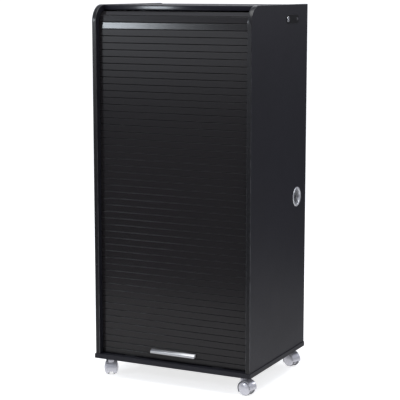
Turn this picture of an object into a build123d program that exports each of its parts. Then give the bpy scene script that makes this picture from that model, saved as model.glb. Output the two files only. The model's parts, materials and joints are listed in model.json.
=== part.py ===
from build123d import *
import math
import os

# Tall cabinet with a roller shutter, on four hooded twin-wheel castors.
# Millimetres. Origin on the floor under the middle of the base panel, +X to the right,
# +Y to the back, +Z up.

# Carcass
cabinet_width = 600
cabinet_depth = 480
cabinet_height = 1300
board = 16
back_board = 8
base_overhang = 3
corner_radius = 58
top_drop = 2
top_lip = 3
edge_ease = 0.8
edging = 2
edging_round = 1.6

# Shelves
shelf_count = 2
shelf_thickness = 18
shelf_play = 0.5
shelf_setback = 10
pin_radius = 2.5
pin_hole_depth = 10
pin_reach = 8
pin_inset = 37
pin_pitch = 32

# Shutter and its track
slat_thickness = 8
slat_pitch = 23.2
slat_gap = 0.1
slat_wall = 1.4
joint_step = 1.4
joint_height = 2.4
joint_depth = 2
joint_play = 0.4
curtain_recess = 22
curtain_play = 6
track_play = 0.5
track_depth = 8
track_end_play = 1
island_ease = 4.2
rail_gap = 3
rail_foot = 17.2
pad_length = 40
pad_width = 6
pad_play = 0.2

# Handle
handle_length = 170
handle_height = 13
handle_depth = 12
handle_wall = 2
handle_slope = 5.2
handle_above_base = 31
handle_screw_radius = 1.5
handle_screw_head = 3
handle_screw_bite = 1.6
handle_screw_spacing = 128

# Side lock
lock_from_front = 300
lock_below_top = 50
lock_screw_spacing = 81
escutcheon_height = 30
escutcheon_thickness = 1.2
escutcheon_bite = 11
escutcheon_screw_radius = 1.5
escutcheon_screw_head = 4.5
escutcheon_slot = 1
barrel_radius = 8.9
barrel_flange_radius = 10
barrel_flange = 1.3
barrel_tail = 8
plug_radius = 6
plug_play = 0.05
tang_radius = 3.5
cam_thickness = 2.5
cam_width = 12
cam_length = 26
cam_play = 1
cam_screw_radius = 1.5
cam_screw_head = 5
cam_screw_head_height = 2
cam_screw_length = 10
keyway_width = 1.2
keyway_height = 7
keyway_depth = 6
nut_thickness = 4
nut_radius = 13
lock_room = 20

# Cable outlet in the right side
grommet_from_rear = 82
grommet_above_base = 561
grommet_bore = 26.5
grommet_flange_radius = 34.5
grommet_flange = 2.2
grommet_wall = 3.3
grommet_play = 0.2
grommet_tail = 2

# Fasteners of the carcass
carcass_screw_radius = 3
carcass_screw_head = 5
carcass_screw_length = 50
screw_play = 0.05
dowel_radius = 4
dowel_in_top = 15
dowel_in_side = 11
fastener_span = 340

# Castors
castor_inset = 42
castor_trail = 14
castor_turns = {"front_left": 117, "front_right": -13.3, "rear_right": -25.5, "rear_left": 150}
plate_size = 42
plate_thickness = 2.5
plate_screw_span = 32
race_radius = 15
race_height = 6
pivot_radius = 4
pivot_play = 0.06
pivot_length = 8
neck_radius = 11
neck_rise = 5.4
swivel_gap = 0.3
wheel_radius = 25
wheel_width = 18.5
wheel_gap = 13
tread_width = 6.5
rim_radius = 21
disc_radius = 23.6
dome_height = 10
dome_round = 3
hood_play = 1.2
hood_wall = 1.6
hood_width = 36
hood_lead_drop = 16
hood_trail_drop = 3
hood_notch_width = 13
hood_notch_rise = 5
web_thickness = 7
axle_radius = 2.5
axle_seat_play = 0.02
axle_play = 0.06
axle_cover = 4.7
castor_screw_radius = 1.75
castor_screw_head = 3.4
castor_screw_head_height = 1.9
castor_screw_bite = 12

# Places that follow from the sizes above
outer_x = cabinet_width / 2 - base_overhang
inner_x = outer_x - board
front_y = -cabinet_depth / 2 + base_overhang
rear_y = cabinet_depth / 2
hood_inner = wheel_radius + hood_play
hood_outer = hood_inner + hood_wall
neck_high = wheel_radius + hood_outer + neck_rise
race_low = neck_high + swivel_gap
plate_low = race_low + race_height
castor_height = plate_low + plate_thickness
floor_z = castor_height + board
top_panel_high = cabinet_height - top_drop
top_panel_low = top_panel_high - board
track_outer_y = front_y + curtain_recess
track_outer_z = cabinet_height - curtain_recess
track_radius = corner_radius - curtain_recess
joint_radius = track_radius - joint_depth
bend_half_turn = math.asin(slat_pitch / 2 / joint_radius)
bend_sagitta = joint_radius * (1 - math.cos(bend_half_turn))
joint_relief = (slat_thickness - joint_depth) * math.tan(bend_half_turn) + joint_play
bend_y = front_y + corner_radius
bend_z = cabinet_height - corner_radius
joint_front_y = bend_y - joint_radius
joint_top_z = bend_z + joint_radius
track_rear_y = rear_y - back_board - curtain_play
inner_back_rear = track_rear_y - slat_thickness - curtain_play
inner_back_front = inner_back_rear - back_board
lock_y = front_y + lock_from_front
lock_z = cabinet_height - lock_below_top
inner_top_high = lock_z - lock_room
inner_top_low = inner_top_high - board
shelf_front = track_outer_y + slat_thickness + shelf_setback
shelf_rear = inner_back_front - shelf_play
shelf_clear = (inner_top_low - floor_z - shelf_count * shelf_thickness) / (shelf_count + 1)
shelf_bottoms = [
    floor_z + (k + 1) * shelf_clear + k * shelf_thickness for k in range(shelf_count)
]
pin_columns = (shelf_front + pin_inset, inner_back_front - pin_inset)
grommet_y = rear_y - grommet_from_rear
grommet_z = castor_height + grommet_above_base
slat_half = inner_x + track_depth - track_end_play
rail_low = floor_z + rail_gap
rail_high = rail_low + rail_foot + slat_pitch
slat_rows = int((bend_z - rail_high) / slat_pitch)
handle_z = floor_z + handle_above_base
tail_end_y = lock_y - cam_width / 2 - cam_play
fastener_rows = (-fastener_span / 2, 0, fastener_span / 2)


def save(name, solids):
    shape = solids[0] if len(solids) == 1 else Compound(list(solids))
    export_step(shape, f"parts/{name}.step")


def block(x_low, x_high, y_low, y_high, z_low, z_high, ease=0):
    middle = ((x_low + x_high) / 2, (y_low + y_high) / 2, (z_low + z_high) / 2)
    solid = Pos(*middle) * Box(x_high - x_low, y_high - y_low, z_high - z_low)
    return fillet(solid.edges(), ease) if ease else solid


def rod(start, direction, radius, length):
    plane = Plane(origin=start, z_dir=direction)
    return plane * Cylinder(radius, length, align=(Align.CENTER, Align.CENTER, Align.MIN))


def outline(y_low, y_high, z_low, z_high, front_radius=0, rear_radius=0):
    # Upright rectangle seen from the side, with its top corners rounded.
    shape = Pos((y_low + y_high) / 2, (z_low + z_high) / 2)
    shape = shape * Rectangle(y_high - y_low, z_high - z_low)
    if front_radius:
        corner = shape.vertices().group_by(Axis.Y)[-1].sort_by(Axis.X)[0]
        shape = fillet(corner, front_radius)
    if rear_radius:
        corner = shape.vertices().group_by(Axis.Y)[-1].sort_by(Axis.X)[-1]
        shape = fillet(corner, rear_radius)
    return shape


def slab(x_low, x_high, sketch):
    return extrude(Plane.YZ.offset(x_low) * sketch, amount=x_high - x_low)


def both_sides(solid):
    return [solid, mirror(solid, about=Plane.YZ)]


# Carcass panels


def castor_places():
    x = cabinet_width / 2 - castor_inset
    y = cabinet_depth / 2 - castor_inset
    return {
        "front_left": (-x, -y),
        "front_right": (x, -y),
        "rear_right": (x, y),
        "rear_left": (-x, y),
    }


def castor_screw_places():
    reach = plate_screw_span / 2
    return [
        (x + i * reach, y + j * reach)
        for x, y in castor_places().values()
        for i in (-1, 1)
        for j in (-1, 1)
    ]


def carcass_screw_places():
    x = (inner_x + outer_x) / 2
    return [(side * x, y) for side in (-1, 1) for y in fastener_rows]


def carcass_screw(x, y, play=0):
    radius = carcass_screw_radius + play
    shank = rod((x, y, castor_height), (0, 0, 1), radius, carcass_screw_length + play)
    head_height = carcass_screw_head - carcass_screw_radius
    head = Pos(x, y, castor_height + head_height / 2)
    head = head * Cone(carcass_screw_head + play, radius, head_height)
    return shank + head


def base_panel():
    half_width, half_depth = cabinet_width / 2, cabinet_depth / 2
    panel = block(
        -half_width, half_width, -half_depth, half_depth, castor_height, floor_z, edge_ease
    )
    for x, y in carcass_screw_places():
        panel -= carcass_screw(x, y, screw_play)
    for x, y in castor_screw_places():
        start = (x, y, castor_height - screw_play)
        panel -= rod(start, (0, 0, 1), castor_screw_radius + screw_play, castor_screw_bite + 1)
    return panel


def track():
    # The island's corners are rounder than the track's inside would be, so that the groove
    # is wide enough where a straight slat turns the bend.
    low = floor_z - 1
    island_radius = track_radius - slat_thickness - track_play + island_ease * bend_sagitta
    outside = outline(
        track_outer_y - track_play,
        track_rear_y + track_play,
        low,
        track_outer_z + track_play,
        track_radius + track_play,
        track_radius + track_play,
    )
    island = outline(
        track_outer_y + slat_thickness + track_play,
        track_rear_y - slat_thickness - track_play,
        low,
        track_outer_z - slat_thickness - track_play,
        island_radius,
        island_radius,
    )
    return outside - island


def side_core():
    return outline(
        front_y + edging, rear_y, floor_z, cabinet_height - edging, corner_radius - edging
    )


def dowels(play=0):
    # Those of the right side.
    solids = []
    for z in ((top_panel_low + top_panel_high) / 2, (inner_top_low + inner_top_high) / 2):
        for y in fastener_rows:
            start = (inner_x - dowel_in_top - play, y, z)
            length = dowel_in_top + dowel_in_side + 2 * play
            solids.append(rod(start, (1, 0, 0), dowel_radius + play, length))
    return solids


def side_panel():
    # The right side, without the holes that only it has.
    panel = slab(inner_x, outer_x, side_core())
    panel -= slab(inner_x - 1, inner_x + track_depth, track())
    for dowel in dowels(screw_play):
        panel -= dowel
    for x, y in carcass_screw_places():
        if x > 0:
            panel -= carcass_screw(x, y, screw_play)
    for y in pin_columns:
        for bottom in shelf_bottoms:
            for step in (-1, 0, 1):
                z = bottom - pin_radius + step * pin_pitch
                hole = pin_radius + screw_play
                panel -= rod((inner_x - 1, y, z), (1, 0, 0), hole, pin_hole_depth + 1)
    return panel


def right_side_holes():
    through = board + 2
    grommet_hole = grommet_bore + grommet_wall + grommet_play
    screw_start = (outer_x - escutcheon_bite - 1, lock_y + lock_screw_spacing, lock_z)
    screw_hole = escutcheon_screw_radius + screw_play
    return [
        rod((inner_x - 1, grommet_y, grommet_z), (1, 0, 0), grommet_hole, through),
        rod((inner_x - 1, lock_y, lock_z), (1, 0, 0), barrel_radius + grommet_play, through),
        rod(screw_start, (1, 0, 0), screw_hole, escutcheon_bite + 2),
    ]


def edging_strip():
    # Moulded edge strip of the right side, along its front, its curve and its top.
    whole = slab(
        inner_x,
        outer_x,
        outline(front_y, rear_y, floor_z, cabinet_height, corner_radius),
    )
    rounded = [
        e
        for e in whole.edges()
        if abs(e.center().X - (inner_x + outer_x) / 2) > board / 4
        and e.center().Y < rear_y - 1
        and e.center().Z > floor_z + 1
    ]
    whole = fillet(rounded, edging_round)
    beyond = board
    core = outline(
        front_y + edging,
        rear_y + beyond,
        floor_z - beyond,
        cabinet_height - edging,
        corner_radius - edging,
    )
    return whole - slab(inner_x - beyond, outer_x + beyond, core)


def top_panel():
    panel = block(
        -inner_x, inner_x, bend_y - top_lip, rear_y, top_panel_low, top_panel_high, edge_ease
    )
    for dowel in dowels(screw_play):
        for one in both_sides(dowel):
            panel -= one
    return panel


def inner_top_panel():
    panel = block(
        -inner_x, inner_x, shelf_front, inner_back_rear, inner_top_low, inner_top_high, edge_ease
    )
    for dowel in dowels(screw_play):
        for one in both_sides(dowel):
            panel -= one
    return panel


def shelf(bottom):
    half = inner_x - shelf_play
    return block(
        -half, half, shelf_front, shelf_rear, bottom, bottom + shelf_thickness, edge_ease
    )


def shelf_pins():
    solids = []
    for bottom in shelf_bottoms:
        for y in pin_columns:
            start = (inner_x - pin_reach, y, bottom - pin_radius)
            pin = rod(start, (1, 0, 0), pin_radius, pin_reach + pin_hole_depth)
            solids += both_sides(pin)
    return solids


# Shutter


def slat_section():
    # Seen from its end: x runs up the slat from its lower joint, y inwards from its face.
    # The joint line that the curtain bends about is at y = joint_depth.
    high = slat_pitch - slat_gap
    back = slat_thickness
    section = Polyline(
        (joint_height, 0),
        (high, 0),
        (high, joint_depth),
        (slat_pitch - joint_relief, back),
        (joint_relief, back),
        (slat_gap, joint_depth),
        (slat_gap, joint_step),
        (joint_height - slat_gap, joint_step),
        close=True,
    )
    cavity_low = joint_relief + slat_wall
    cavity_high = slat_pitch - cavity_low
    cavity = Polyline(
        (cavity_low, slat_wall),
        (cavity_high, slat_wall),
        (cavity_high, back - slat_wall),
        (cavity_low, back - slat_wall),
        close=True,
    )
    return make_face(section) - make_face(cavity)


def slat(lower, upper):
    # Between two joints of the curtain, each a (y, z) point.
    along = Vector(0, upper[0] - lower[0], upper[1] - lower[1]).normalized()
    inwards = Vector(0, along.Z, -along.Y)
    origin = Vector(slat_half, *lower) - inwards * joint_depth
    plane = Plane(origin=origin, x_dir=along, z_dir=(-1, 0, 0))
    return extrude(plane * slat_section(), amount=2 * slat_half)


def joint_line(distance):
    # Point at a distance along the joints' path, from the foot of the front bend.
    if distance < 0:
        return (joint_front_y, bend_z + distance)
    turn = distance / joint_radius
    if turn < math.pi / 2:
        return (bend_y - joint_radius * math.cos(turn), bend_z + joint_radius * math.sin(turn))
    return (bend_y + distance - joint_radius * math.pi / 2, joint_top_z)


def next_joint(start):
    # Distance along the path of the joint that is one slat further on.
    here = joint_line(start)
    near, far = start, start + 2 * slat_pitch
    for _ in range(50):
        middle = (near + far) / 2
        if math.dist(here, joint_line(middle)) < slat_pitch:
            near = middle
        else:
            far = middle
    return (near + far) / 2


def curtain_joints():
    # The joints of the bend, then those of the run under the top as far as the tail bar.
    joints = [rail_high + slat_rows * slat_pitch - bend_z]
    while joints[-1] < joint_radius * math.pi / 2:
        joints.append(next_joint(joints[-1]))
    bend = [joint_line(d) for d in joints]
    run = [bend[-1]]
    while run[-1][0] + 2 * slat_pitch < tail_end_y:
        run.append((run[-1][0] + slat_pitch, joint_top_z))
    return bend, run


def slat_row(joints):
    return [slat(lower, upper) for lower, upper in zip(joints, joints[1:])]


def front_slats():
    return slat_row(
        [(joint_front_y, rail_high + k * slat_pitch) for k in range(slat_rows + 1)]
    )


def tail_bar(start_y):
    face = joint_top_z + joint_depth
    low = face - slat_thickness
    return block(-slat_half, slat_half, start_y + slat_gap, tail_end_y, low, face, edge_ease)


def handle_screws(play=0):
    rear = track_outer_y + slat_thickness
    solids = []
    for x in (-handle_screw_spacing / 2, handle_screw_spacing / 2):
        length = slat_thickness + handle_screw_bite + play
        shank = rod((x, rear, handle_z), (0, -1, 0), handle_screw_radius + play, length)
        sunk = handle_screw_radius + play
        head = rod((x, rear, handle_z), (0, -1, 0), handle_screw_head + play, sunk)
        solids.append(shank + head)
    return solids


def bottom_rail():
    front = track_outer_y
    rail = block(
        -slat_half,
        slat_half,
        front,
        front + slat_thickness,
        rail_low,
        rail_high - slat_gap,
    )
    groove_low = rail_low + rail_foot
    rail -= block(
        -slat_half - 1,
        slat_half + 1,
        front - 1,
        front + joint_step,
        groove_low,
        groove_low + joint_height,
    )
    for screw in handle_screws(screw_play):
        rail -= screw
    # Behind the joint the rail is relieved like the slats are.
    relief = Polyline(
        (front + joint_depth, rail_high - slat_gap),
        (front + slat_thickness, rail_high - joint_relief),
        (front + slat_thickness, rail_high),
        (front + joint_depth, rail_high),
        close=True,
    )
    return rail - slab(-slat_half - 1, slat_half + 1, make_face(relief))


def handle():
    # A bent strip: a flange on the rail, a slope outwards and a lip down in front.
    face = track_outer_y
    top = handle_z + handle_height / 2
    low = handle_z - handle_height / 2
    out = face - handle_depth
    strip = Polyline(
        (face, low + handle_wall),
        (face, top),
        (face - handle_wall, top),
        (out, top - handle_slope),
        (out, low),
        (out + handle_wall, low),
        (out + handle_wall, top - handle_slope - handle_wall),
        (face - handle_wall, top - 1.5 * handle_wall),
        (face - handle_wall, low + handle_wall),
        close=True,
    )
    half = handle_length / 2
    body = slab(-half, half, make_face(strip))
    for screw in handle_screws(screw_play):
        body -= screw
    return body


def rail_pads():
    x = handle_length
    y = track_outer_y + slat_thickness / 2
    pad = block(
        x - pad_length / 2,
        x + pad_length / 2,
        y - pad_width / 2,
        y + pad_width / 2,
        floor_z,
        rail_low - pad_play,
    )
    return both_sides(pad)


# Lock in the right side


def lock_escutcheon():
    length = lock_screw_spacing + escutcheon_height
    middle = lock_y + lock_screw_spacing / 2
    shape = Pos(middle, lock_z) * SlotOverall(length, escutcheon_height)
    shape -= Pos(lock_y, lock_z) * Circle(barrel_radius + grommet_play)
    shape -= Pos(lock_y + lock_screw_spacing, lock_z) * Circle(escutcheon_screw_radius + screw_play)
    plate = slab(outer_x, outer_x + escutcheon_thickness, shape)
    rim = plate.faces().sort_by(Axis.X)[-1].outer_wire().edges()
    return chamfer(rim, escutcheon_thickness / 3)


def lock_barrel():
    flange_low = outer_x + escutcheon_thickness
    tail = inner_x - barrel_tail
    shell = rod((tail, lock_y, lock_z), (1, 0, 0), barrel_radius, flange_low - tail)
    shell += rod((flange_low, lock_y, lock_z), (1, 0, 0), barrel_flange_radius, barrel_flange)
    bore_length = flange_low + barrel_flange - tail + 2
    bore = rod((tail - 1, lock_y, lock_z), (1, 0, 0), plug_radius + plug_play, bore_length)
    return shell - bore


def lock_plug():
    front = outer_x + escutcheon_thickness + barrel_flange
    rear = inner_x - barrel_tail - plug_play
    tang = rear - cam_thickness
    core = rod((rear, lock_y, lock_z), (1, 0, 0), plug_radius, front - rear)
    core += rod((tang, lock_y, lock_z), (1, 0, 0), tang_radius, cam_thickness + 1)
    keyway = Pos(front, lock_y, lock_z) * Box(2 * keyway_depth, keyway_width, keyway_height)
    return core - keyway - cam_screw_shank(screw_play)


def cam_screw_shank(play=0):
    start = inner_x - barrel_tail - plug_play - cam_thickness
    return rod((start, lock_y, lock_z), (1, 0, 0), cam_screw_radius + play, cam_screw_length)


def cam_screw():
    start = inner_x - barrel_tail - plug_play - cam_thickness - cam_screw_head_height
    head = rod((start, lock_y, lock_z), (1, 0, 0), cam_screw_head, cam_screw_head_height)
    return head + cam_screw_shank()


def lock_cam():
    # At rest it points to the back, clear of the curtain. Turned up, it stands behind the
    # curtain's tail bar.
    high = inner_x - barrel_tail - plug_play
    length = cam_length + cam_width / 2
    shape = Pos(lock_y + length / 2 - cam_width / 2, lock_z) * SlotOverall(length, cam_width)
    shape -= Pos(lock_y, lock_z) * Circle(tang_radius + plug_play)
    return slab(high - cam_thickness, high, shape)


def lock_nut():
    hexagon = Pos(lock_y, lock_z) * RegularPolygon(nut_radius, 6)
    hexagon -= Pos(lock_y, lock_z) * Circle(barrel_radius + screw_play)
    return slab(inner_x - nut_thickness, inner_x, hexagon)


def escutcheon_screw():
    y = lock_y + lock_screw_spacing
    face = outer_x + escutcheon_thickness
    start = outer_x - escutcheon_bite
    head = rod((face, y, lock_z), (1, 0, 0), escutcheon_screw_head, barrel_flange)
    shank = rod((start, y, lock_z), (1, 0, 0), escutcheon_screw_radius, face - start)
    slot = Pos(face + barrel_flange, y, lock_z)
    slot = slot * Box(barrel_flange, escutcheon_slot, 3 * escutcheon_screw_head)
    return head + shank - slot


def grommet_ring():
    tail = inner_x - grommet_tail
    centre = (grommet_y, grommet_z)
    sleeve = rod((tail, *centre), (1, 0, 0), grommet_bore + grommet_wall, outer_x - tail)
    flange = rod((outer_x, *centre), (1, 0, 0), grommet_flange_radius, grommet_flange)
    flange = fillet(flange.edges().group_by(Axis.X)[-1], grommet_flange * 0.6)
    bore_length = board + grommet_tail + grommet_flange + 2
    return sleeve + flange - rod((tail - 1, *centre), (1, 0, 0), grommet_bore, bore_length)


# Castors, each about its own swivel axis with the wheels trailing along +X

hood_lead_x = castor_trail - math.sqrt(hood_outer**2 - hood_lead_drop**2)
hood_trail_x = castor_trail + math.sqrt(hood_outer**2 - hood_trail_drop**2)
hood_slant = math.degrees(
    math.atan((hood_lead_drop - hood_trail_drop) / (hood_trail_x - hood_lead_x))
)
wheel_inner = wheel_gap / 2
wheel_outer = wheel_inner + wheel_width
tread_end = wheel_inner + tread_width
axle_half = wheel_outer - axle_cover


def castor_plate():
    plate = block(
        -plate_size / 2, plate_size / 2, -plate_size / 2, plate_size / 2, plate_low, castor_height
    )
    plate = fillet(plate.edges().filter_by(Axis.Z), castor_screw_head)
    for i in (-1, 1):
        for j in (-1, 1):
            corner = (i * plate_screw_span / 2, j * plate_screw_span / 2, plate_low - 1)
            plate -= rod(corner, (0, 0, 1), castor_screw_radius + screw_play, plate_thickness + 2)
    plate += rod((0, 0, race_low), (0, 0, 1), race_radius, race_height)
    return plate + rod((0, 0, race_low - pivot_length), (0, 0, 1), pivot_radius, pivot_length)


def across(radius, half_width):
    return rod((castor_trail, -half_width, wheel_radius), (0, 1, 0), radius, 2 * half_width)


def castor_hood():
    # Its lower edge slants from deep in front of the wheels to high behind them,
    # with a notch in front, between the two wheels.
    reach = 2 * hood_outer
    above = Pos(hood_trail_x, 0, wheel_radius - hood_trail_drop) * Rot(0, -hood_slant, 0)
    above = above * Pos(0, 0, reach) * Box(4 * reach, reach, 2 * reach)
    neck = rod((0, 0, wheel_radius), (0, 0, 1), neck_radius, neck_high - wheel_radius)
    shell = across(hood_outer, hood_width / 2) + neck
    shell -= across(hood_inner, reach)
    web = across(hood_inner + hood_wall / 2, web_thickness / 2)
    notch_top = wheel_radius - hood_lead_drop + hood_notch_rise
    notch = Pos(castor_trail - reach / 2, 0, notch_top / 2) * Box(reach, hood_notch_width, notch_top)
    hood = ((shell + web) & above) - notch
    hood += across(2 * axle_radius, web_thickness / 2)
    bore_low = race_low - pivot_length - swivel_gap
    hood -= rod((0, 0, bore_low), (0, 0, 1), pivot_radius + pivot_play, neck_radius + reach)
    return hood - across(axle_radius + axle_seat_play, web_thickness)


def castor_axle():
    return across(axle_radius, axle_half)


def from_wheel(start_y, radius, length):
    return rod((castor_trail, start_y, wheel_radius), (0, 1, 0), radius, length)


def wheel_hub():
    # A seat for the tyre and a domed disc that closes over the axle's end.
    ball_radius = (disc_radius**2 + dome_height**2) / (2 * dome_height)
    ball = Pos(castor_trail, wheel_outer - ball_radius, wheel_radius) * Sphere(ball_radius)
    disc = from_wheel(tread_end, disc_radius, wheel_outer - tread_end) & ball
    rim = disc.edges().filter_by(GeomType.CIRCLE).sort_by(Axis.Y)[-1]
    hub = fillet(rim, dome_round) + from_wheel(wheel_inner, rim_radius, tread_width)
    bore_length = axle_half + swivel_gap - wheel_inner + 1
    return hub - from_wheel(wheel_inner - 1, axle_radius + axle_play, bore_length)


def wheel_tyre():
    low, high = wheel_inner + swivel_gap, tread_end - screw_play
    ring = from_wheel(low, wheel_radius, high - low)
    ring = fillet(ring.edges().filter_by(GeomType.CIRCLE), (wheel_radius - rim_radius) / 3)
    return ring - from_wheel(low - 1, rim_radius + screw_play, high - low + 2)


def castor_screw(x, y):
    shank = rod((x, y, plate_low), (0, 0, 1), castor_screw_radius, plate_thickness + castor_screw_bite)
    head = rod((x, y, plate_low), (0, 0, -1), castor_screw_head, castor_screw_head_height)
    head = chamfer(head.edges().group_by(Axis.Z)[0], castor_screw_head_height / 3)
    return shank + head


def save_castor(corner, place, turn):
    fixed = Pos(*place, 0)
    turned = fixed * Rot(0, 0, turn)
    hub, tyre = wheel_hub(), wheel_tyre()
    save(f"castor_plate_{corner}", [fixed * castor_plate()])
    save(f"castor_hood_{corner}", [turned * castor_hood()])
    save(f"castor_axle_{corner}", [turned * castor_axle()])
    save(f"wheel_hub_{corner}_a", [turned * hub])
    save(f"wheel_tyre_{corner}_a", [turned * tyre])
    save(f"wheel_hub_{corner}_b", [turned * mirror(hub, about=Plane.XZ)])
    save(f"wheel_tyre_{corner}_b", [turned * mirror(tyre, about=Plane.XZ)])


def save_all():
    os.makedirs("parts", exist_ok=True)
    left_side = mirror(side_panel(), about=Plane.YZ)
    right_side = side_panel()
    for hole in right_side_holes():
        right_side -= hole
    right_edging, left_edging = both_sides(edging_strip())
    bend, run = curtain_joints()
    save("base_panel", [base_panel()])
    save("side_panel_left", [left_side])
    save("side_panel_right", [right_side])
    save("edging_left", [left_edging])
    save("edging_right", [right_edging])
    save("top_panel", [top_panel()])
    save("inner_top_panel", [inner_top_panel()])
    back = (rear_y - back_board, rear_y, floor_z, top_panel_low)
    save("back_panel", [block(-inner_x, inner_x, *back)])
    inner_back = (inner_back_front, inner_back_rear, floor_z, inner_top_low)
    save("inner_back_panel", [block(-inner_x, inner_x, *inner_back)])
    for name, bottom in zip(("shelf_lower", "shelf_upper"), shelf_bottoms):
        save(name, [shelf(bottom)])
    save("shelf_pins", shelf_pins())
    save("carcass_screws", [carcass_screw(x, y) for x, y in carcass_screw_places()])
    save("carcass_dowels", [one for dowel in dowels() for one in both_sides(dowel)])
    save("shutter_slats", front_slats())
    save("shutter_slats_bend", slat_row(bend))
    save("shutter_slats_top", slat_row(run))
    save("shutter_tail_bar", [tail_bar(run[-1][0])])
    save("shutter_bottom_rail", [bottom_rail()])
    save("shutter_handle", [handle()])
    save("handle_screws", handle_screws())
    save("rail_pads", rail_pads())
    save("lock_escutcheon", [lock_escutcheon()])
    save("lock_barrel", [lock_barrel()])
    save("lock_plug", [lock_plug()])
    save("lock_cam", [lock_cam()])
    save("cam_screw", [cam_screw()])
    save("lock_nut", [lock_nut()])
    save("escutcheon_screw", [escutcheon_screw()])
    save("grommet_ring", [grommet_ring()])
    for corner, place in castor_places().items():
        save_castor(corner, place, castor_turns[corner])
    save("castor_screws", [castor_screw(x, y) for x, y in castor_screw_places()])


save_all()
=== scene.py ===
import json
import math
import bmesh
import bpy
from mathutils import Matrix, Vector


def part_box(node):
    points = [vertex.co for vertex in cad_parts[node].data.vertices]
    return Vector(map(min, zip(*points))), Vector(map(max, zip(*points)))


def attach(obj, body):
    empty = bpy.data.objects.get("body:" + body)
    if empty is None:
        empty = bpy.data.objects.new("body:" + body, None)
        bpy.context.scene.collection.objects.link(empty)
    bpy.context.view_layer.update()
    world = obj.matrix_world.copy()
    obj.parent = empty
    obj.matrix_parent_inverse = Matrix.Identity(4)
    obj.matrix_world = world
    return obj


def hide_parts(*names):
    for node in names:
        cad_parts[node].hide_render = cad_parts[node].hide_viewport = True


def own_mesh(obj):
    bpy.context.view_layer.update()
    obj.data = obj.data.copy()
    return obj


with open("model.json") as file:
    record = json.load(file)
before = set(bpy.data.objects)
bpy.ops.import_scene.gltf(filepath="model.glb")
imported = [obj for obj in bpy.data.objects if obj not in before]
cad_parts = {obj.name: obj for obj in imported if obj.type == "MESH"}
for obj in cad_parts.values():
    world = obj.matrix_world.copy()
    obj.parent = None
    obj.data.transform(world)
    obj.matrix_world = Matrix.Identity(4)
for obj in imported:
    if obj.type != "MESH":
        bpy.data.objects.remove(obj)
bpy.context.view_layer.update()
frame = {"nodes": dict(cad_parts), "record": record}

scene = bpy.context.scene
record = frame["record"]


# finishes, one for each material slot of the record

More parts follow.
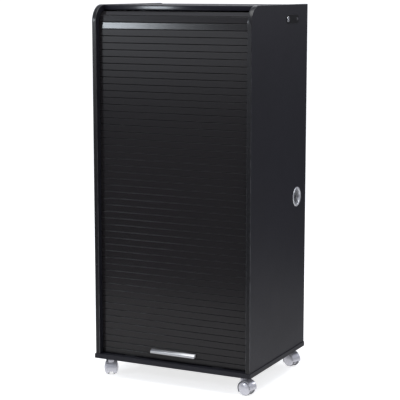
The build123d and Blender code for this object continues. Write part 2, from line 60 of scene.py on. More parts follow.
finishes = {
    "black_laminate": {
        "dark": (0.0074, 0.0073, 0.0112), "light": (0.0120, 0.0118, 0.0172), "wornAndGlint": (0.045, 0.043, 0.050),
        "rough": (0.42, 0.56), "grain": 420, "stretch": (1, 1, 0.6), "bump": 0.22, "depth": 0.00012,
        "pearl": 1500, "specular": 0.30,
    },
    "edge_strip": {
        "dark": (0.0070, 0.0070, 0.0080), "light": (0.0105, 0.0105, 0.0120), "wornAndGlint": (0.085, 0.085, 0.093),
        "rough": (0.22, 0.30), "grain": 300, "stretch": (1, 0.15, 0.15), "bump": 0.10, "depth": 0.00010,
        "pearl": 1200, "specular": 0.4,
    },
    "shutter_plastic": {
        "dark": (0.0076, 0.0068, 0.0074), "light": (0.0112, 0.0101, 0.0110), "wornAndGlint": (0.030, 0.029, 0.031),
        "rough": (0.17, 0.23), "grain": 700, "stretch": (0.006, 1, 1), "bump": 0.03, "depth": 0.00004,
        "pearl": 0, "specular": 0.42,
    },
    "satin_aluminium": {
        "dark": (0.66, 0.67, 0.69), "light": (0.82, 0.83, 0.85), "wornAndGlint": (0.92, 0.92, 0.93),
        "rough": (0.26, 0.40), "grain": 2600, "stretch": (0.012, 1, 1), "bump": 0.14, "depth": 0.00005,
        "pearl": 0, "metallic": 1.0, "specular": 0.5,
    },
    "silver_ring": {
        "dark": (0.70, 0.71, 0.74), "light": (0.84, 0.85, 0.88), "wornAndGlint": (0.93, 0.93, 0.95),
        "rough": (0.24, 0.34), "grain": 1400, "stretch": (1, 1, 1), "bump": 0.06, "depth": 0.00004,
        "pearl": 0, "metallic": 0.75, "specular": 0.5,
    },
    "castor_silver": {
        "dark": (0.52, 0.52, 0.56), "light": (0.66, 0.66, 0.71), "wornAndGlint": (0.84, 0.84, 0.88),
        "rough": (0.18, 0.28), "grain": 2200, "stretch": (1, 1, 1), "bump": 0.05, "depth": 0.00004,
        "pearl": 2600, "metallic": 0.5, "specular": 0.5,
    },
    "castor_black": {
        "dark": (0.012, 0.012, 0.014), "light": (0.026, 0.026, 0.030), "wornAndGlint": (0.12, 0.12, 0.13),
        "rough": (0.34, 0.48), "grain": 700, "stretch": (1, 1, 1), "bump": 0.12, "depth": 0.00008,
        "pearl": 0, "specular": 0.5,
    },
    "tread": {
        "dark": (0.085, 0.085, 0.09), "light": (0.14, 0.14, 0.15), "wornAndGlint": (0.22, 0.22, 0.22),
        "rough": (0.55, 0.72), "grain": 900, "stretch": (1, 1, 1), "bump": 0.30, "depth": 0.00015,
        "pearl": 0, "specular": 0.35,
    },
    "pad_rubber": {
        "dark": (0.010, 0.010, 0.010), "light": (0.022, 0.022, 0.022), "wornAndGlint": (0.05, 0.05, 0.05),
        "rough": (0.62, 0.80), "grain": 1100, "stretch": (1, 1, 1), "bump": 0.30, "depth": 0.00012,
        "pearl": 0, "specular": 0.3,
    },
    "black_metal": {
        "dark": (0.0030, 0.0030, 0.0036), "light": (0.0060, 0.0060, 0.0070), "wornAndGlint": (0.07, 0.07, 0.075),
        "rough": (0.40, 0.52), "grain": 1300, "stretch": (1, 1, 1), "bump": 0.14, "depth": 0.00006,
        "pearl": 1800, "specular": 0.2,
    },
    "bright_chrome": {
        "dark": (0.78, 0.79, 0.81), "light": (0.88, 0.89, 0.91), "wornAndGlint": (0.95, 0.95, 0.96),
        "rough": (0.10, 0.18), "grain": 1800, "stretch": (1, 1, 1), "bump": 0.04, "depth": 0.00003,
        "pearl": 0, "metallic": 1.0, "specular": 0.5,
    },
    "steel": {
        "dark": (0.42, 0.42, 0.44), "light": (0.60, 0.60, 0.62), "wornAndGlint": (0.75, 0.75, 0.76),
        "rough": (0.28, 0.42), "grain": 1500, "stretch": (1, 1, 1), "bump": 0.12, "depth": 0.00005,
        "pearl": 0, "metallic": 1.0, "specular": 0.5,
    },
    "beech": {
        "dark": (0.42, 0.27, 0.15), "light": (0.62, 0.45, 0.28), "wornAndGlint": (0.70, 0.55, 0.38),
        "rough": (0.50, 0.66), "grain": 900, "stretch": (0.05, 1, 1), "bump": 0.25, "depth": 0.00012,
        "pearl": 0, "specular": 0.4,
    },
}


# shared by all finishes
surface = {
    "grainDetail": 5, "cloudScale": 4.5, "cloudDetail": 3,
    # painted shade: its colour, how much of it covers the marked faces, and the roughness of those faces
    "shadeCover": 0.85, "paintedShadeColour": (0.0016, 0.0015, 0.0016), "shadedRough": 0.95,
    "bandShare": 0.36,  # roughness of a banded edge, as a share of the board's
}


def addNode(tree, kind, **settings):
    node = tree.nodes.new(kind)
    for key, value in settings.items():
        setattr(node, key, value)
    return node


def spread(tree, source, low, high, toLow, toHigh):
    node = addNode(tree, "ShaderNodeMapRange")
    tree.links.new(source, node.inputs["Value"])
    for key, value in zip(("From Min", "From Max", "To Min", "To Max"), (low, high, toLow, toHigh)):
        node.inputs[key].default_value = value
    return node.outputs["Result"]


def blendColours(tree, factor, first, second):
    node = addNode(tree, "ShaderNodeMix", data_type="RGBA")
    tree.links.new(factor, node.inputs[0])
    for socket, value in ((node.inputs[6], first), (node.inputs[7], second)):
        if isinstance(value, tuple):
            socket.default_value = (*value, 1)
        else:
            tree.links.new(value, socket)
    return node.outputs[2]


def multiply(tree, first, second):
    node = addNode(tree, "ShaderNodeMath", operation="MULTIPLY")
    tree.links.new(first, node.inputs[0])
    if isinstance(second, float):
        node.inputs[1].default_value = second
    else:
        tree.links.new(second, node.inputs[1])
    return node.outputs[0]


def makeFinish(name, look):
    finish = bpy.data.materials.new(name)
    finish.use_nodes = True
    finish.diffuse_color = (*look["light"], 1)
    tree = finish.node_tree
    shader = tree.nodes["Principled BSDF"]
    place = addNode(tree, "ShaderNodeTexCoord").outputs["Object"]
    stretched = addNode(tree, "ShaderNodeMapping")
    stretched.inputs["Scale"].default_value = look["stretch"]
    tree.links.new(place, stretched.inputs["Vector"])
    grain = addNode(tree, "ShaderNodeTexNoise")
    grain.inputs["Scale"].default_value = look["grain"]
    grain.inputs["Detail"].default_value = surface["grainDetail"]
    tree.links.new(stretched.outputs["Vector"], grain.inputs["Vector"])
    cloud = addNode(tree, "ShaderNodeTexNoise")
    cloud.inputs["Scale"].default_value = surface["cloudScale"]
    cloud.inputs["Detail"].default_value = surface["cloudDetail"]
    tree.links.new(place, cloud.inputs["Vector"])
    mixed = multiply(tree, spread(tree, grain.outputs[0], 0.25, 0.75, 0.35, 1.0),
                     spread(tree, cloud.outputs[0], 0.3, 0.7, 0.45, 1.0))
    colour = blendColours(tree, mixed, look["dark"], look["light"])
    # rounded edges lightened towards the lighter edge colour: partly wear, partly painted highlight
    wearAndGlint = addNode(tree, "ShaderNodeAttribute", attribute_name="edgeWearAndGlint")
    scuffAndGlint = multiply(tree, wearAndGlint.outputs["Fac"], spread(tree, grain.outputs[0], 0.35, 0.65, 0.15, 0.75))
    colour = blendColours(tree, scuffAndGlint, colour, look["wornAndGlint"])
    # painted shade where shade falls in the bottoms of grooves and inside the castor hoods: darker and dull
    paintedShade = addNode(tree, "ShaderNodeAttribute", attribute_name="paintedShadeMask").outputs["Fac"]
    shadeAmount = multiply(tree, paintedShade, surface["shadeCover"])
    colour = blendColours(tree, shadeAmount, colour, surface["paintedShadeColour"])
    tree.links.new(colour, shader.inputs["Base Color"])
    low, high = look["rough"]
    rough = addNode(tree, "ShaderNodeMath", operation="MAXIMUM")
    band = addNode(tree, "ShaderNodeAttribute", attribute_name="edgeBand").outputs["Fac"]
    smoothed = multiply(tree, spread(tree, mixed, 0.1, 0.9, high, low),
                        spread(tree, band, 0.0, 1.0, 1.0, surface["bandShare"]))
    tree.links.new(smoothed, rough.inputs[0])
    tree.links.new(multiply(tree, paintedShade, surface["shadedRough"]), rough.inputs[1])
    tree.links.new(rough.outputs[0], shader.inputs["Roughness"])
    height = grain.outputs[0]
    if look["pearl"]:  # the small round pips of a pearl texture
        pips = addNode(tree, "ShaderNodeTexVoronoi", feature="SMOOTH_F1")
        pips.inputs["Scale"].default_value = look["pearl"]
        tree.links.new(place, pips.inputs["Vector"])
        height = multiply(tree, height, spread(tree, pips.outputs["Distance"], 0.0, 0.8, 1.0, 0.2))
    bump = addNode(tree, "ShaderNodeBump")
    bump.inputs["Strength"].default_value = look["bump"]
    bump.inputs["Distance"].default_value = look["depth"]
    tree.links.new(height, bump.inputs["Height"])
    tree.links.new(bump.outputs["Normal"], shader.inputs["Normal"])
    shader.inputs["Metallic"].default_value = look.get("metallic", 0.0)
    shader.inputs["Specular IOR Level"].default_value = look["specular"]
    return finish


slotFinish = {slot: makeFinish(slot, look) for slot, look in finishes.items()}
for part in record["subparts"]:
    node = frame["nodes"][part["node"]]
    if not node.material_slots:
        node.data.materials.append(None)
    for held in node.material_slots:
        held.material = slotFinish[part["material_slot"]]
print("finishes", len(slotFinish))


mergeGap = 0.000004
sameSpot = 0.000001  # metres; closer than this counts as in the same plane
broadFlat = 0.0025  # square metres; larger faces are shaded flat
softBend = 38  # degrees; sharper bends keep a hard edge
wearGlintWidth = 0.0015  # only faces narrower than this get the lighter edge colour, partly wear and partly painted highlight
wearGlintFrom, wearGlintSpan = 0.2, 0.6  # radians; the bend at which the lighter edge colour starts, and how much more makes it full


def markWearAndGlint(bm):
    # up to 1 at the corners of narrow faces, such as rounded edges, and 0 on the others: there the colour
    # is lightened, partly wear and partly painted highlight where light catches the edges
    wearAndGlint = bm.loops.layers.float.new("edgeWearAndGlint")
    for face in bm.faces:
        if face.calc_area() > wearGlintWidth * max(edge.calc_length() for edge in face.edges):
            continue
        for loop in face.loops:
            bend = max(edge.calc_face_angle(0) for edge in loop.vert.link_edges)
            loop[wearAndGlint] = min(1, max(0, (bend - wearGlintFrom) / wearGlintSpan))


def addPiece(name, bm, slot, body, *nodes):
    bmesh.ops.remove_doubles(bm, verts=bm.verts, dist=mergeGap)
    bmesh.ops.recalc_face_normals(bm, faces=bm.faces)
    markWearAndGlint(bm)
    mesh = bpy.data.meshes.new(name)
    bm.to_mesh(mesh)
    bm.free()
    mesh.set_sharp_from_angle(angle=math.radians(softBend))
    for polygon in mesh.polygons:  # broad flats stay flat, so that their rounded edges don't shade them
        polygon.use_smooth = polygon.area < broadFlat
    mesh.materials.append(slotFinish[slot])
    piece = bpy.data.objects.new(name, mesh)
    scene.collection.objects.link(piece)
    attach(piece, body)
    if nodes:
        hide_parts(*nodes)
    return piece


def extrudeFrom(bm, face, step):
    grown = bmesh.ops.extrude_face_region(bm, geom=[face])["geom"]
    bmesh.ops.translate(bm, verts=[g for g in grown if isinstance(g, bmesh.types.BMVert)], vec=step)
    return [g for g in grown if isinstance(g, bmesh.types.BMFace)][0]


def withBorders(faces):
    # the faces with their edges and corners, each once and always in the same order
    edges = dict.fromkeys(edge for face in faces for edge in face.edges)
    corners = dict.fromkeys(vert for face in faces for vert in face.verts)
    return [*faces, *edges, *corners]


def barAlongX(bm, section, halfLength):
    # section holds (y, z) corners
    face = bm.faces.new([bm.verts.new((-halfLength, y, z)) for y, z in section])
    extrudeFrom(bm, face, (2 * halfLength, 0, 0))


def roundEdges(bm, chosen, size, segments=3):
    edges = [edge for edge in bm.edges if chosen(edge)]
    bmesh.ops.bevel(bm, geom=edges, offset=size, affect="EDGES", segments=segments,
                    profile=0.5, material=-1)


def frontEdge(frontY):
    # tells the long edges of a slat's or the rail's front face
    def test(edge):
        first, second = (vert.co for vert in edge.verts)
        inFront = all(abs(end.y - frontY) < sameSpot for end in (first, second))
        return inFront and abs(first.x - second.x) > 0.001
    return test


def turned(bm, outline, centre, axis, steps=64):
    # outline: open line of points, spun a full turn
    verts = [bm.verts.new(point) for point in outline]
    edges = [bm.edges.new(pair) for pair in zip(verts, verts[1:])]
    bmesh.ops.spin(bm, geom=verts + edges, cent=centre, axis=axis, angle=2 * math.pi,
                   steps=steps, use_merge=True)
    bmesh.ops.remove_doubles(bm, verts=bm.verts, dist=mergeGap)


def copyInto(bm, mesh, matrix):
    before = len(bm.verts)
    bm.from_mesh(mesh)
    bm.verts.ensure_lookup_table()
    bmesh.ops.transform(bm, matrix=matrix, verts=bm.verts[before:])


def asMesh(bm, name):
    mesh = bpy.data.meshes.new(name)
    bm.to_mesh(mesh)
    bm.free()
    return mesh


shutter = {
    "halfWidth": 0.288, "pitch": 0.0232, "gap": 0.0001, "thickness": 0.008,
    "grooveHeight": 0.0024, "grooveDepth": 0.0014, "hinge": 0.002, "relief": 0.00258, "edgeRound": 0.0006,
    "faceY": -0.215, "railLow": 0.086, "railTop": 0.1264, "railGroove": 0.1032, "rows": 48,
    "bendY": -0.179, "bendZ": 1.242, "hingeRadius": 0.034, "topLean": 0.0021,
}


def markPaintedShade(bm, chosen):
    # 1 on the chosen faces, such as the bottoms of grooves, which get painted shade
    paintedShade = bm.loops.layers.float.new("paintedShadeMask")
    for face in filter(chosen, bm.faces):
        for loop in face.loops:
            loop[paintedShade] = 1


def behindFront(frontY):
    # tells the faces down in the grooves and at the back
    return lambda face: min(vert.co.y for vert in face.verts) > frontY + 0.0002


def slatMesh():
    s = shutter
    face, high = -s["hinge"], s["pitch"] - s["gap"]
    back = s["thickness"] - s["hinge"]
    bm = bmesh.new()
    barAlongX(bm, [
        (face, s["grooveHeight"]), (face, high), (0, high), (back, s["pitch"] - s["relief"]),
        (back, s["relief"]), (0, s["gap"]), (face + s["grooveDepth"], s["gap"]),
        (face + s["grooveDepth"], s["grooveHeight"] - s["gap"]),
    ], s["halfWidth"])
    roundEdges(bm, frontEdge(face), s["edgeRound"])
    # painted shade in the grooves and at the back of each slat
    markPaintedShade(bm, behindFront(face))
    return asMesh(bm, "oneSlat")


def slatPlace(lower, upper):
    turn = math.atan2(lower[0] - upper[0], upper[1] - lower[1])
    return Matrix.Translation((0, *lower)) @ Matrix.Rotation(turn, 4, "X")


def hingePoint(distance):
    # along the curtain's hinge line, from the foot of the bend
    radius = shutter["hingeRadius"]
    if distance < 0:
        return (shutter["bendY"] - radius, shutter["bendZ"] + distance)
    turn = distance / radius
    if turn < math.pi / 2:
        return (shutter["bendY"] - radius * math.cos(turn), shutter["bendZ"] + radius * math.sin(turn))
    return (shutter["bendY"] + distance - radius * math.pi / 2, shutter["bendZ"] + radius)


def nextHinge(start):
    near, far = start, start + 2 * shutter["pitch"]
    for _ in range(40):
        middle = (near + far) / 2
        if math.dist(hingePoint(start), hingePoint(middle)) < shutter["pitch"]:
            near = middle
        else:
            far = middle
    return near


oneSlat = slatMesh()
hingeY = shutter["bendY"] - shutter["hingeRadius"]
slatsTop = shutter["railTop"] + shutter["rows"] * shutter["pitch"]
bm = bmesh.new()
for row in range(shutter["rows"]):
    foot = shutter["railTop"] + row * shutter["pitch"]
    lean = shutter["topLean"] if row == shutter["rows"] - 1 else 0  # the last one starts into the bend
    copyInto(bm, oneSlat, slatPlace((hingeY, foot), (hingeY + lean, foot + shutter["pitch"])))
frontSlats = addPiece("frontSlats", bm, "shutter_plastic", "cabinet", "shutter_slats")
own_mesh(frontSlats)

hinges = [slatsTop - shutter["bendZ"]]
while hinges[-1] < shutter["hingeRadius"] * math.pi / 2:
    hinges.append(nextHinge(hinges[-1]))
bm = bmesh.new()
points = [(hingeY + shutter["topLean"], slatsTop)] + [hingePoint(distance) for distance in hinges[1:]]
for lower, upper in zip(points, points[1:]):
    copyInto(bm, oneSlat, slatPlace(lower, upper))
addPiece("bendSlats", bm, "shutter_plastic", "cabinet", "shutter_slats_bend")

bm = bmesh.new()
face, back = shutter["faceY"], shutter["faceY"] + shutter["thickness"]
groove, depth = shutter["railGroove"], shutter["grooveDepth"]
railHigh = shutter["railTop"] - shutter["gap"]
barAlongX(bm, [
    (face, shutter["railLow"]), (face, groove), (face + depth, groove),
    (face + depth, groove + shutter["grooveHeight"]), (face, groove + shutter["grooveHeight"]),
    (face, railHigh), (face + shutter["hinge"], railHigh),
    (back, shutter["railTop"] - shutter["relief"]), (back, shutter["railLow"]),
], shutter["halfWidth"])
roundEdges(bm, frontEdge(face), shutter["edgeRound"])
# painted shade in the rail's groove and at its back
markPaintedShade(bm, behindFront(face))
addPiece("bottomRail", bm, "shutter_plastic", "shutter", "shutter_bottom_rail")
print("shutter", len(hinges) - 1, "slats on the bend")


handle = {"low": 0.1075, "top": 0.1205, "out": 0.012, "wall": 0.002, "slope": 0.0052,
          "half": 0.085, "round": 0.0006}

bm = bmesh.new()
face, out, wall = shutter["faceY"], shutter["faceY"] - handle["out"], handle["wall"]
low, top, slope = handle["low"], handle["top"], handle["slope"]
barAlongX(bm, [
    (face, low + wall), (face, top), (face - wall, top), (out, top - slope), (out, low), (out + wall, low),
    (out + wall, top - slope - wall), (face - wall, top - 1.5 * wall), (face - wall, low + wall),
], handle["half"])
roundEdges(bm, lambda e: all(v.co.y < face - 0.0001 for v in e.verts), handle["round"], 2)
addPiece("pullHandle", bm, "satin_aluminium", "shutter", "shutter_handle")
print("handle")


strip = {"inner": 0.281, "outer": 0.297, "front": -0.237, "wall": 0.002, "foot": 0.083,
         "curve": 0.058, "top": 1.300, "rear": 0.240, "round": 0.0016, "steps": 20}


def edgeStrip(name, side, node):
    front, curve = strip["front"], strip["curve"]
    bm = bmesh.new()
    corners = [
        (strip["inner"], front + strip["wall"]), (strip["inner"], front),
        (strip["outer"], front), (strip["outer"], front + strip["wall"]),
    ]
    verts = [bm.verts.new((side * x, y, strip["foot"])) for x, y in corners]
    bm.faces.new(verts)
    bmesh.ops.bevel(bm, geom=verts[1:3], offset=strip["round"], affect="VERTICES", segments=4,
                    profile=0.5, material=-1)
    bm.faces.ensure_lookup_table()
    end = extrudeFrom(bm, bm.faces[0], (0, 0, strip["top"] - curve - strip["foot"]))
    middle = (0, front + curve, strip["top"] - curve)
    spun = bmesh.ops.spin(bm, geom=withBorders([end]), cent=middle, axis=(1, 0, 0),
                          angle=-math.pi / 2, steps=strip["steps"])
    last = [g for g in spun["geom_last"] if isinstance(g, bmesh.types.BMFace)][0]
    extrudeFrom(bm, last, (0, strip["rear"] - front - curve, 0))
    return addPiece(name, bm, "edge_strip", "cabinet", node)


edgeStrip("leftStrip", -1, "edging_left")
edgeStrip("rightStrip", 1, "edging_right")
print("edge strips")


# top board, its front edge slightly crowned
topBoard = {"half": 0.281, "front": -0.182, "rear": 0.240, "low": 1.282, "high": 1.298,
            "crown": 0.0013, "crownSteps": 5, "round": 0.0008}

t = topBoard
shares = [k / t["crownSteps"] for k in range(t["crownSteps"] + 1)]
bm = bmesh.new()
crowned = [(t["front"] + t["crown"] * k * k, t["low"] + (t["high"] - t["low"]) * k) for k in shares]
barAlongX(bm, crowned + [(t["rear"], t["high"]), (t["rear"], t["low"])], t["half"])
bmesh.ops.recalc_face_normals(bm, faces=bm.faces)
roundEdges(bm, lambda e: e.calc_face_angle(0) > 1, t["round"], 2)
band = bm.loops.layers.float.new("edgeBand")  # the front edge is banded, and smoother than the board
for face in bm.faces:
    if face.calc_center_median().y < t["front"] + t["crown"]:
        for loop in face.loops:
            loop[band] = 1
addPiece("topBoard", bm, "black_laminate", "cabinet", "top_panel")
print("top board")


outlet = {"y": 0.158, "z": 0.628, "bore": 0.0265, "sleeve": 0.0298, "flange": 0.0345,
          "tail": 0.279, "board": 0.297, "face": 0.2992}


def aboutX(bm, outline, y, z, steps=64):
    # outline holds (x, radius) pairs
    turned(bm, [(x, y + radius, z) for x, radius in outline], (0, y, z), (1, 0, 0), steps)


def facingSide(x, y, z):
    # turns a flat circle to face the cabinet's right
    return Matrix.Translation((x, y, z)) @ Matrix.Rotation(math.pi / 2, 4, "Y")


o = outlet
bm = bmesh.new()
aboutX(bm, [
    (o["tail"], o["bore"]), (o["tail"], o["sleeve"]), (o["board"], o["sleeve"]), (o["board"], o["flange"]),
    (o["board"] + 0.0009, o["flange"]), (o["face"] - 0.0007, o["flange"] - 0.0004),
    (o["face"] - 0.0002, o["flange"] - 0.0010), (o["face"], o["flange"] - 0.0018),
    (o["face"], o["bore"] + 0.0030), (o["face"] - 0.0003, o["bore"] + 0.0014),
    (o["face"] - 0.0011, o["bore"] + 0.0004), (o["face"] - 0.0026, o["bore"]), (o["tail"], o["bore"]),
], o["y"], o["z"], 72)
addPiece("outletRing", bm, "silver_ring", "cabinet", "grommet_ring")

lock = {"y": 0.063, "z": 1.250, "screwY": 0.144, "plateHalf": 0.015, "plateLow": 0.297, "plateHigh": 0.2982,
        "barrel": 0.0089, "flange": 0.0100, "face": 0.2995, "tail": 0.273, "plug": 0.006,
        "keyWidth": 0.0012, "keyHeight": 0.007, "keyDepth": 0.006, "tang": 0.0035, "tangLow": 0.27045,
        "screwHead": 0.0045, "screwShank": 0.0015, "screwTail": 0.286,
        "slot": 0.001, "slotLength": 0.0062, "slotDepth": 0.00065, "plateRound": 0.0005, "slack": 0.00005}

# plate: two half discs joined by straight sides
bm = bmesh.new()
bmesh.ops.create_circle(bm, cap_ends=True, segments=48, radius=lock["plateHalf"],
                        matrix=facingSide(lock["plateLow"], lock["y"], lock["z"]))
rearHalf = [v for v in bm.verts if v.co.y > lock["y"] + 0.0001]
bmesh.ops.translate(bm, verts=rearHalf, vec=(0, lock["screwY"] - lock["y"], 0))
bm.faces.ensure_lookup_table()
extrudeFrom(bm, bm.faces[0], (lock["plateHigh"] - lock["plateLow"], 0, 0))
roundEdges(bm, lambda e: all(v.co.x > lock["plateHigh"] - sameSpot for v in e.verts), lock["plateRound"], 2)
addPiece("lockPlate", bm, "black_metal", "cabinet", "lock_escutcheon")

bm = bmesh.new()
aboutX(bm, [
    (lock["tail"], lock["plug"] + lock["slack"]), (lock["tail"], lock["barrel"]),
    (lock["plateHigh"], lock["barrel"]), (lock["plateHigh"], lock["flange"]),
    (lock["face"] - 0.0006, lock["flange"]),
    (lock["face"] - 0.0002, lock["flange"] - 0.0003), (lock["face"], lock["flange"] - 0.0008),
    (lock["face"], lock["plug"] + 0.0009), (lock["face"] - 0.0003, lock["plug"] + 0.0003),
    (lock["face"] - 0.0008, lock["plug"] + lock["slack"]), (lock["tail"], lock["plug"] + lock["slack"]),
], lock["y"], lock["z"])
addPiece("lockBarrel", bm, "bright_chrome", "cabinet", "lock_barrel")


def cutKeyway(bm, low, width, height, y, z):
    # sinks the middle of a flat end face between four cuts
    for point, normal in (
        ((0, y - width / 2, 0), (0, 1, 0)), ((0, y + width / 2, 0), (0, 1, 0)),
        ((0, 0, z - height / 2), (0, 0, 1)), ((0, 0, z + height / 2), (0, 0, 1)),
    ):
        end = [f for f in bm.faces if abs(f.normal.x) > 0.99 and f.calc_center_median().x > low]
        bmesh.ops.bisect_plane(bm, geom=withBorders(end), plane_co=point, plane_no=normal)
    ends = [f for f in bm.faces if abs(f.normal.x) > 0.99 and f.calc_center_median().x > low]
    return [f for f in ends if abs(f.calc_center_median().y - y) < width / 2
            and abs(f.calc_center_median().z - z) < height / 2]


def sinkFaces(bm, faces, depth):
    grown = bmesh.ops.extrude_face_region(bm, geom=faces)["geom"]
    sunk = [g for g in grown if isinstance(g, bmesh.types.BMVert)]
    bmesh.ops.translate(bm, verts=sunk, vec=(-depth, 0, 0))


def roundEnd(bm, y, z, radius, low, high, segments=48):
    ring = bmesh.ops.create_circle(bm, cap_ends=True, segments=segments, radius=radius,
                                   matrix=facingSide(low, y, z))
    extrudeFrom(bm, ring["verts"][0].link_faces[0], (high - low, 0, 0))
    bmesh.ops.recalc_face_normals(bm, faces=bm.faces)


bm = bmesh.new()
roundEnd(bm, lock["y"], lock["z"], lock["plug"], lock["tail"], lock["face"])
bm.normal_update()
keyway = cutKeyway(bm, lock["face"] - 0.001, lock["keyWidth"], lock["keyHeight"], lock["y"], lock["z"])
sinkFaces(bm, keyway, lock["keyDepth"])
roundEnd(bm, lock["y"], lock["z"], lock["tang"], lock["tangLow"], lock["tail"] + 0.001, 32)
addPiece("lockCore", bm, "bright_chrome", "lock_core", "lock_plug")

bm = bmesh.new()
roundEnd(bm, lock["screwY"], lock["z"], lock["screwHead"], lock["plateHigh"], lock["face"])
bm.normal_update()
slot = cutKeyway(bm, lock["face"] - 0.0005, lock["slot"], lock["slotLength"], lock["screwY"], lock["z"])
sinkFaces(bm, slot, lock["slotDepth"])
shankEnd = lock["plateHigh"] + 0.0002  # inside the head
roundEnd(bm, lock["screwY"], lock["z"], lock["screwShank"], lock["screwTail"], shankEnd, 24)
addPiece("plateScrew", bm, "bright_chrome", "cabinet", "escutcheon_screw")
print("outlet and lock")


# castors are made about their own swivel axis, with the wheels trailing along +X
castor = {
    "trail": 0.014, "axleHeight": 0.025, "hoodInner": 0.0262, "hoodOuter": 0.0278, "hoodHalf": 0.018,
    "leadDrop": 0.016, "trailDrop": 0.003, "notchHalf": 0.0065, "notchTop": 0.014, "hoodRound": 0.0007,
    "neck": 0.011, "neckHigh": 0.0582, "neckSunk": 0.004, "neckRound": 0.0008,
    "web": 0.0035, "webRadius": 0.0270, "boss": 0.005,
    # degrees, where each castor points
    "turns": {"front_left": 117, "front_right": -13.3, "rear_right": -25.5, "rear_left": 150},
}
wheel = {
    "inner": 0.0065, "treadEnd": 0.013, "outer": 0.025, "radius": 0.025, "rim": 0.021, "disc": 0.0236,
    "tyreGap": 0.0003, "tyreSeat": 0.00005, "treadRound": 0.0013, "bore": 0.00256, "boreEnd": 0.0206,
    # the dome from its rim to its middle, with a shallow ring: distance along the axle, radius
    "dome": [
        (0.0166, 0.02345), (0.0181, 0.02290), (0.0193, 0.02190), (0.0203, 0.02050), (0.0211, 0.01890),
        (0.0209, 0.01830), (0.0213, 0.01760), (0.0224, 0.01480), (0.0234, 0.01150), (0.0242, 0.00780),
        (0.02475, 0.00400),
    ],
}
axlePoint = Vector((castor["trail"], 0, castor["axleHeight"]))


def aboutAxle(bm, outline, steps=64):
    # outline holds (distance along the axle, radius) pairs
    points = [(axlePoint.x, along, axlePoint.z + radius) for along, radius in outline]
    turned(bm, points, axlePoint, (0, 1, 0), steps)


def sweepRound(bm, faces, angle, steps):
    # sweeps end faces forwards round the axle and returns the new ends
    swept = bmesh.ops.spin(bm, geom=withBorders(faces), cent=axlePoint, axis=(0, 1, 0),
                           angle=-angle, steps=steps)
    return [g for g in swept["geom_last"] if isinstance(g, bmesh.types.BMFace)]


def roundAxle(bm, reach, radius, segments):
    # a flat disc round the axle, this far towards the first wheel
    rim = bmesh.ops.create_circle(
        bm, cap_ends=True, segments=segments, radius=radius,
        matrix=Matrix.Translation(axlePoint - Vector((0, reach, 0))) @ Matrix.Rotation(math.pi / 2, 4, "X"))
    return rim["verts"][0].link_faces[0]


def insideHood(face):
    # the inner side of the shell with the web and the boss, and the neck above the shell
    middle = face.calc_center_median() - axlePoint
    reach = math.hypot(middle.x, middle.z)
    return reach < castor["hoodInner"] + 0.0003 or middle.z > castor["hoodOuter"] + 0.0005


def hoodMesh():
    c = castor
    inner, outer, half = c["hoodInner"], c["hoodOuter"], c["hoodHalf"]
    leadTurn, trailTurn = (math.asin(c[drop] / outer) for drop in ("leadDrop", "trailDrop"))
    bm = bmesh.new()
    # the shell: a flat strip swept round over the wheels
    section = [bm.verts.new((axlePoint.x + radius, a, axlePoint.z))
               for radius, a in ((inner, -half), (outer, -half), (outer, half), (inner, half))]
    face = bm.faces.new(section)
    bmesh.ops.bevel(bm, geom=section[1:3], offset=c["hoodRound"], affect="VERTICES", segments=3,
                    profile=0.5, material=-1)
    bm.faces.ensure_lookup_table()
    face = bm.faces[0]
    bmesh.ops.rotate(bm, verts=bm.verts, cent=axlePoint, matrix=Matrix.Rotation(trailTurn, 3, "Y"))
    notchTurn = math.asin((axlePoint.z - c["notchTop"]) / outer)
    end = sweepRound(bm, [face], math.pi + notchTurn + trailTurn, 44)
    # beside the notch only the two outer thirds go on
    for edge in (-c["notchHalf"], c["notchHalf"]):
        cut = bmesh.ops.bisect_plane(bm, geom=withBorders(end), plane_co=(0, edge, 0), plane_no=(0, 1, 0))
        end = [g for g in cut["geom"] if isinstance(g, bmesh.types.BMFace)]
    for leg in [f for f in end if abs(f.calc_center_median().y) > c["notchHalf"]]:
        sweepRound(bm, [leg], leadTurn - notchTurn, 4)
    # the web between the wheels, cut off along the hood's slanting edge
    lead = axlePoint - Vector((outer * math.cos(leadTurn), 0, c["leadDrop"]))
    slant = axlePoint + Vector((outer * math.cos(trailTurn), 0, -c["trailDrop"])) - lead
    disc = roundAxle(bm, c["web"], c["webRadius"], 72)
    for point, normal in ((lead, (-slant.z, 0, slant.x)), ((0, 0, c["notchTop"]), (0, 0, 1))):
        cut = bmesh.ops.bisect_plane(bm, geom=withBorders([disc]), plane_co=point, plane_no=normal,
                                     clear_inner=True)
        disc = [g for g in cut["geom"] if isinstance(g, bmesh.types.BMFace)][0]
    extrudeFrom(bm, disc, (0, 2 * c["web"], 0))
    # boss round the axle, and the neck up to the swivel
    proud = c["web"] + 0.0001
    extrudeFrom(bm, roundAxle(bm, proud, c["boss"], 24), (0, 2 * proud, 0))
    neckLow = axlePoint.z + inner - c["neckSunk"]
    rim = bmesh.ops.create_circle(bm, cap_ends=True, segments=40, radius=c["neck"],
                                  matrix=Matrix.Translation((0, 0, neckLow)))
    top = extrudeFrom(bm, rim["verts"][0].link_faces[0], (0, 0, c["neckHigh"] - neckLow))
    bmesh.ops.bevel(bm, geom=list(top.edges), offset=c["neckRound"], affect="EDGES", segments=2,
                    profile=0.5, material=-1)
    bmesh.ops.recalc_face_normals(bm, faces=bm.faces)
    # painted shade inside the hood, on the web and boss, and on the neck
    markPaintedShade(bm, insideHood)
    return asMesh(bm, "oneHood")


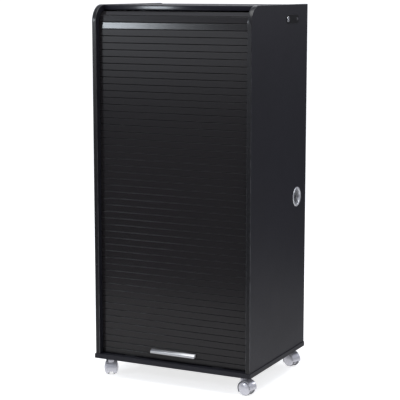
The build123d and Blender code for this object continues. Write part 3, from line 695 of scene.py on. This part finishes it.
def discMesh():
    # domed disc with a shallow ring, and the seat behind it that the tyre sits on
    w = wheel
    bm = bmesh.new()
    aboutAxle(bm, [
        (w["boreEnd"], 0), (w["boreEnd"], w["bore"]), (w["inner"], w["bore"]), (w["inner"], w["rim"]),
        (w["treadEnd"], w["rim"]), (w["treadEnd"], w["disc"] - 0.0003), (w["treadEnd"] + 0.0003, w["disc"]),
        (0.0150, w["disc"]), *w["dome"], (w["outer"] - 0.0001, 0),
    ])
    return asMesh(bm, "oneDisc")


def tyreMesh():
    w = wheel
    low, high = w["inner"] + w["tyreGap"], w["treadEnd"] - w["tyreSeat"]
    inside, radius, cut, slight = w["rim"] + w["tyreSeat"], w["radius"], w["treadRound"], 0.0004
    bm = bmesh.new()
    aboutAxle(bm, [
        (low, inside), (low, radius - cut), (low + slight, radius - slight), (low + cut, radius),
        (high - cut, radius), (high - slight, radius - slight), (high, radius - cut),
        (high, inside), (low, inside),
    ])
    return asMesh(bm, "oneTyre")


def addCopy(name, mesh, matrix, slot, body, node):
    bm = bmesh.new()
    copyInto(bm, mesh, matrix)
    addPiece(name, bm, slot, body, node)


oneHood, oneDisc, oneTyre = hoodMesh(), discMesh(), tyreMesh()
silver = "castor_silver"
for corner, turn in castor["turns"].items():
    low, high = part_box(f"castor_plate_{corner}")
    swivel = Matrix.Translation(((low.x + high.x) / 2, (low.y + high.y) / 2, 0))
    swivel = swivel @ Matrix.Rotation(math.radians(turn), 4, "Z")
    addCopy(f"castorHood_{corner}", oneHood, swivel, silver, f"castor_{corner}", f"castor_hood_{corner}")
    for side, flip in (("a", 1), ("b", -1)):
        place = f"{corner}_{side}"
        placed = swivel @ Matrix.Diagonal((1, flip, 1, 1))
        addCopy(f"wheelDisc_{place}", oneDisc, placed, silver, f"wheel_{place}", f"wheel_hub_{place}")
        addCopy(f"wheelTyre_{place}", oneTyre, placed, "tread", f"wheel_{place}", f"wheel_tyre_{place}")
print("castors")


studio = {
    "floorSize": 1600, "floorDrop": 0.0005, "floorColour": (0.74, 0.74, 0.74), "floorGlow": 0.74,
    "skyHigh": (0.52, 0.54, 0.60), "skyLow": (0.08, 0.08, 0.095), "skyStrength": 1.0,
    "softboxes": [
        # name, place, aim, width, height, power, colour
        ("overhead", (0.2, -0.9, 3.6), (0, 0, 0.9), 2.6, 2.0, 60, (1, 1, 1)),
        ("leftWindow", (-2.05, -3.03, 1.74), (-0.1, -0.2, 1.23), 0.66, 0.46, 26, (0.86, 0.93, 1)),
        ("leftCard", (-2.3, -4.5, 1.12), (0, -0.2, 1.15), 2.4, 0.7, 6, (0.92, 0.95, 1)),
        ("backHigh", (-1.0, 2.6, 2.6), (0, -0.2, 1.27), 1.6, 1.0, 6, (1, 1, 1)),
        ("rightRear", (2.9, 3.6, 2.2), (0.3, 0, 1.1), 1.2, 0.8, 14, (0.95, 0.96, 1)),
        ("floorBounce", (0.4, 0, 0.004), (0.4, 0, 2), 3.2, 2.8, 15, (1, 1, 1)),
    ],
}
camera = {"place": (2.0763, -4.1956, 1.3639), "turn": 26.386, "tilt": 9.063, "lens": 121.13,
          "sensor": 36, "farEnd": 3000}

bm = bmesh.new()
bmesh.ops.create_grid(bm, x_segments=8, y_segments=8, size=studio["floorSize"] / 2)
bmesh.ops.translate(bm, verts=bm.verts, vec=(0, 0, -studio["floorDrop"]))
floorMesh = bpy.data.meshes.new("studioFloor")
bm.to_mesh(floorMesh)
bm.free()
studioFloor = bpy.data.objects.new("studioFloor", floorMesh)
scene.collection.objects.link(studioFloor)
floorFinish = bpy.data.materials.new("paleFloor")
floorFinish.use_nodes = True
floorShader = floorFinish.node_tree.nodes["Principled BSDF"]
floorShader.inputs["Base Color"].default_value = (*studio["floorColour"], 1)
floorShader.inputs["Roughness"].default_value = 0.9
floorShader.inputs["Specular IOR Level"].default_value = 0.0
floorShader.inputs["Emission Color"].default_value = (1, 1, 1, 1)
floorShader.inputs["Emission Strength"].default_value = studio["floorGlow"]
floorMesh.materials.append(floorFinish)
studioFloor.visible_glossy = False

world = bpy.data.worlds.new("studioSky")
scene.world = world
world.use_nodes = True
sky = world.node_tree
direction = addNode(sky, "ShaderNodeTexCoord").outputs["Object"]
parts = addNode(sky, "ShaderNodeSeparateXYZ")
sky.links.new(direction, parts.inputs[0])
up = spread(sky, parts.outputs["Z"], 0.0, 0.5, 0.0, 1.0)
background = sky.nodes["Background"]
sky.links.new(blendColours(sky, up, studio["skyLow"], studio["skyHigh"]), background.inputs["Color"])
background.inputs["Strength"].default_value = studio["skyStrength"]

for name, place, aim, width, height, power, colour in studio["softboxes"]:
    lamp = bpy.data.lights.new(name, "AREA")
    lamp.shape = "RECTANGLE"
    lamp.size, lamp.size_y, lamp.energy, lamp.color = width, height, power, colour
    holder = bpy.data.objects.new(name, lamp)
    holder.location = place
    holder.visible_camera = False
    holder.rotation_euler = (Vector(aim) - Vector(place)).to_track_quat("-Z", "Y").to_euler()
    scene.collection.objects.link(holder)

lens = bpy.data.cameras.new("viewCamera")
lens.lens, lens.sensor_width = camera["lens"], camera["sensor"]
lens.clip_end = camera["farEnd"]
viewer = bpy.data.objects.new("viewCamera", lens)
viewer.location = camera["place"]
viewer.rotation_euler = (math.radians(90 - camera["tilt"]), 0, math.radians(camera["turn"]))
scene.collection.objects.link(viewer)
scene.camera = viewer
scene.view_settings.view_transform = "Standard"
print("studio")
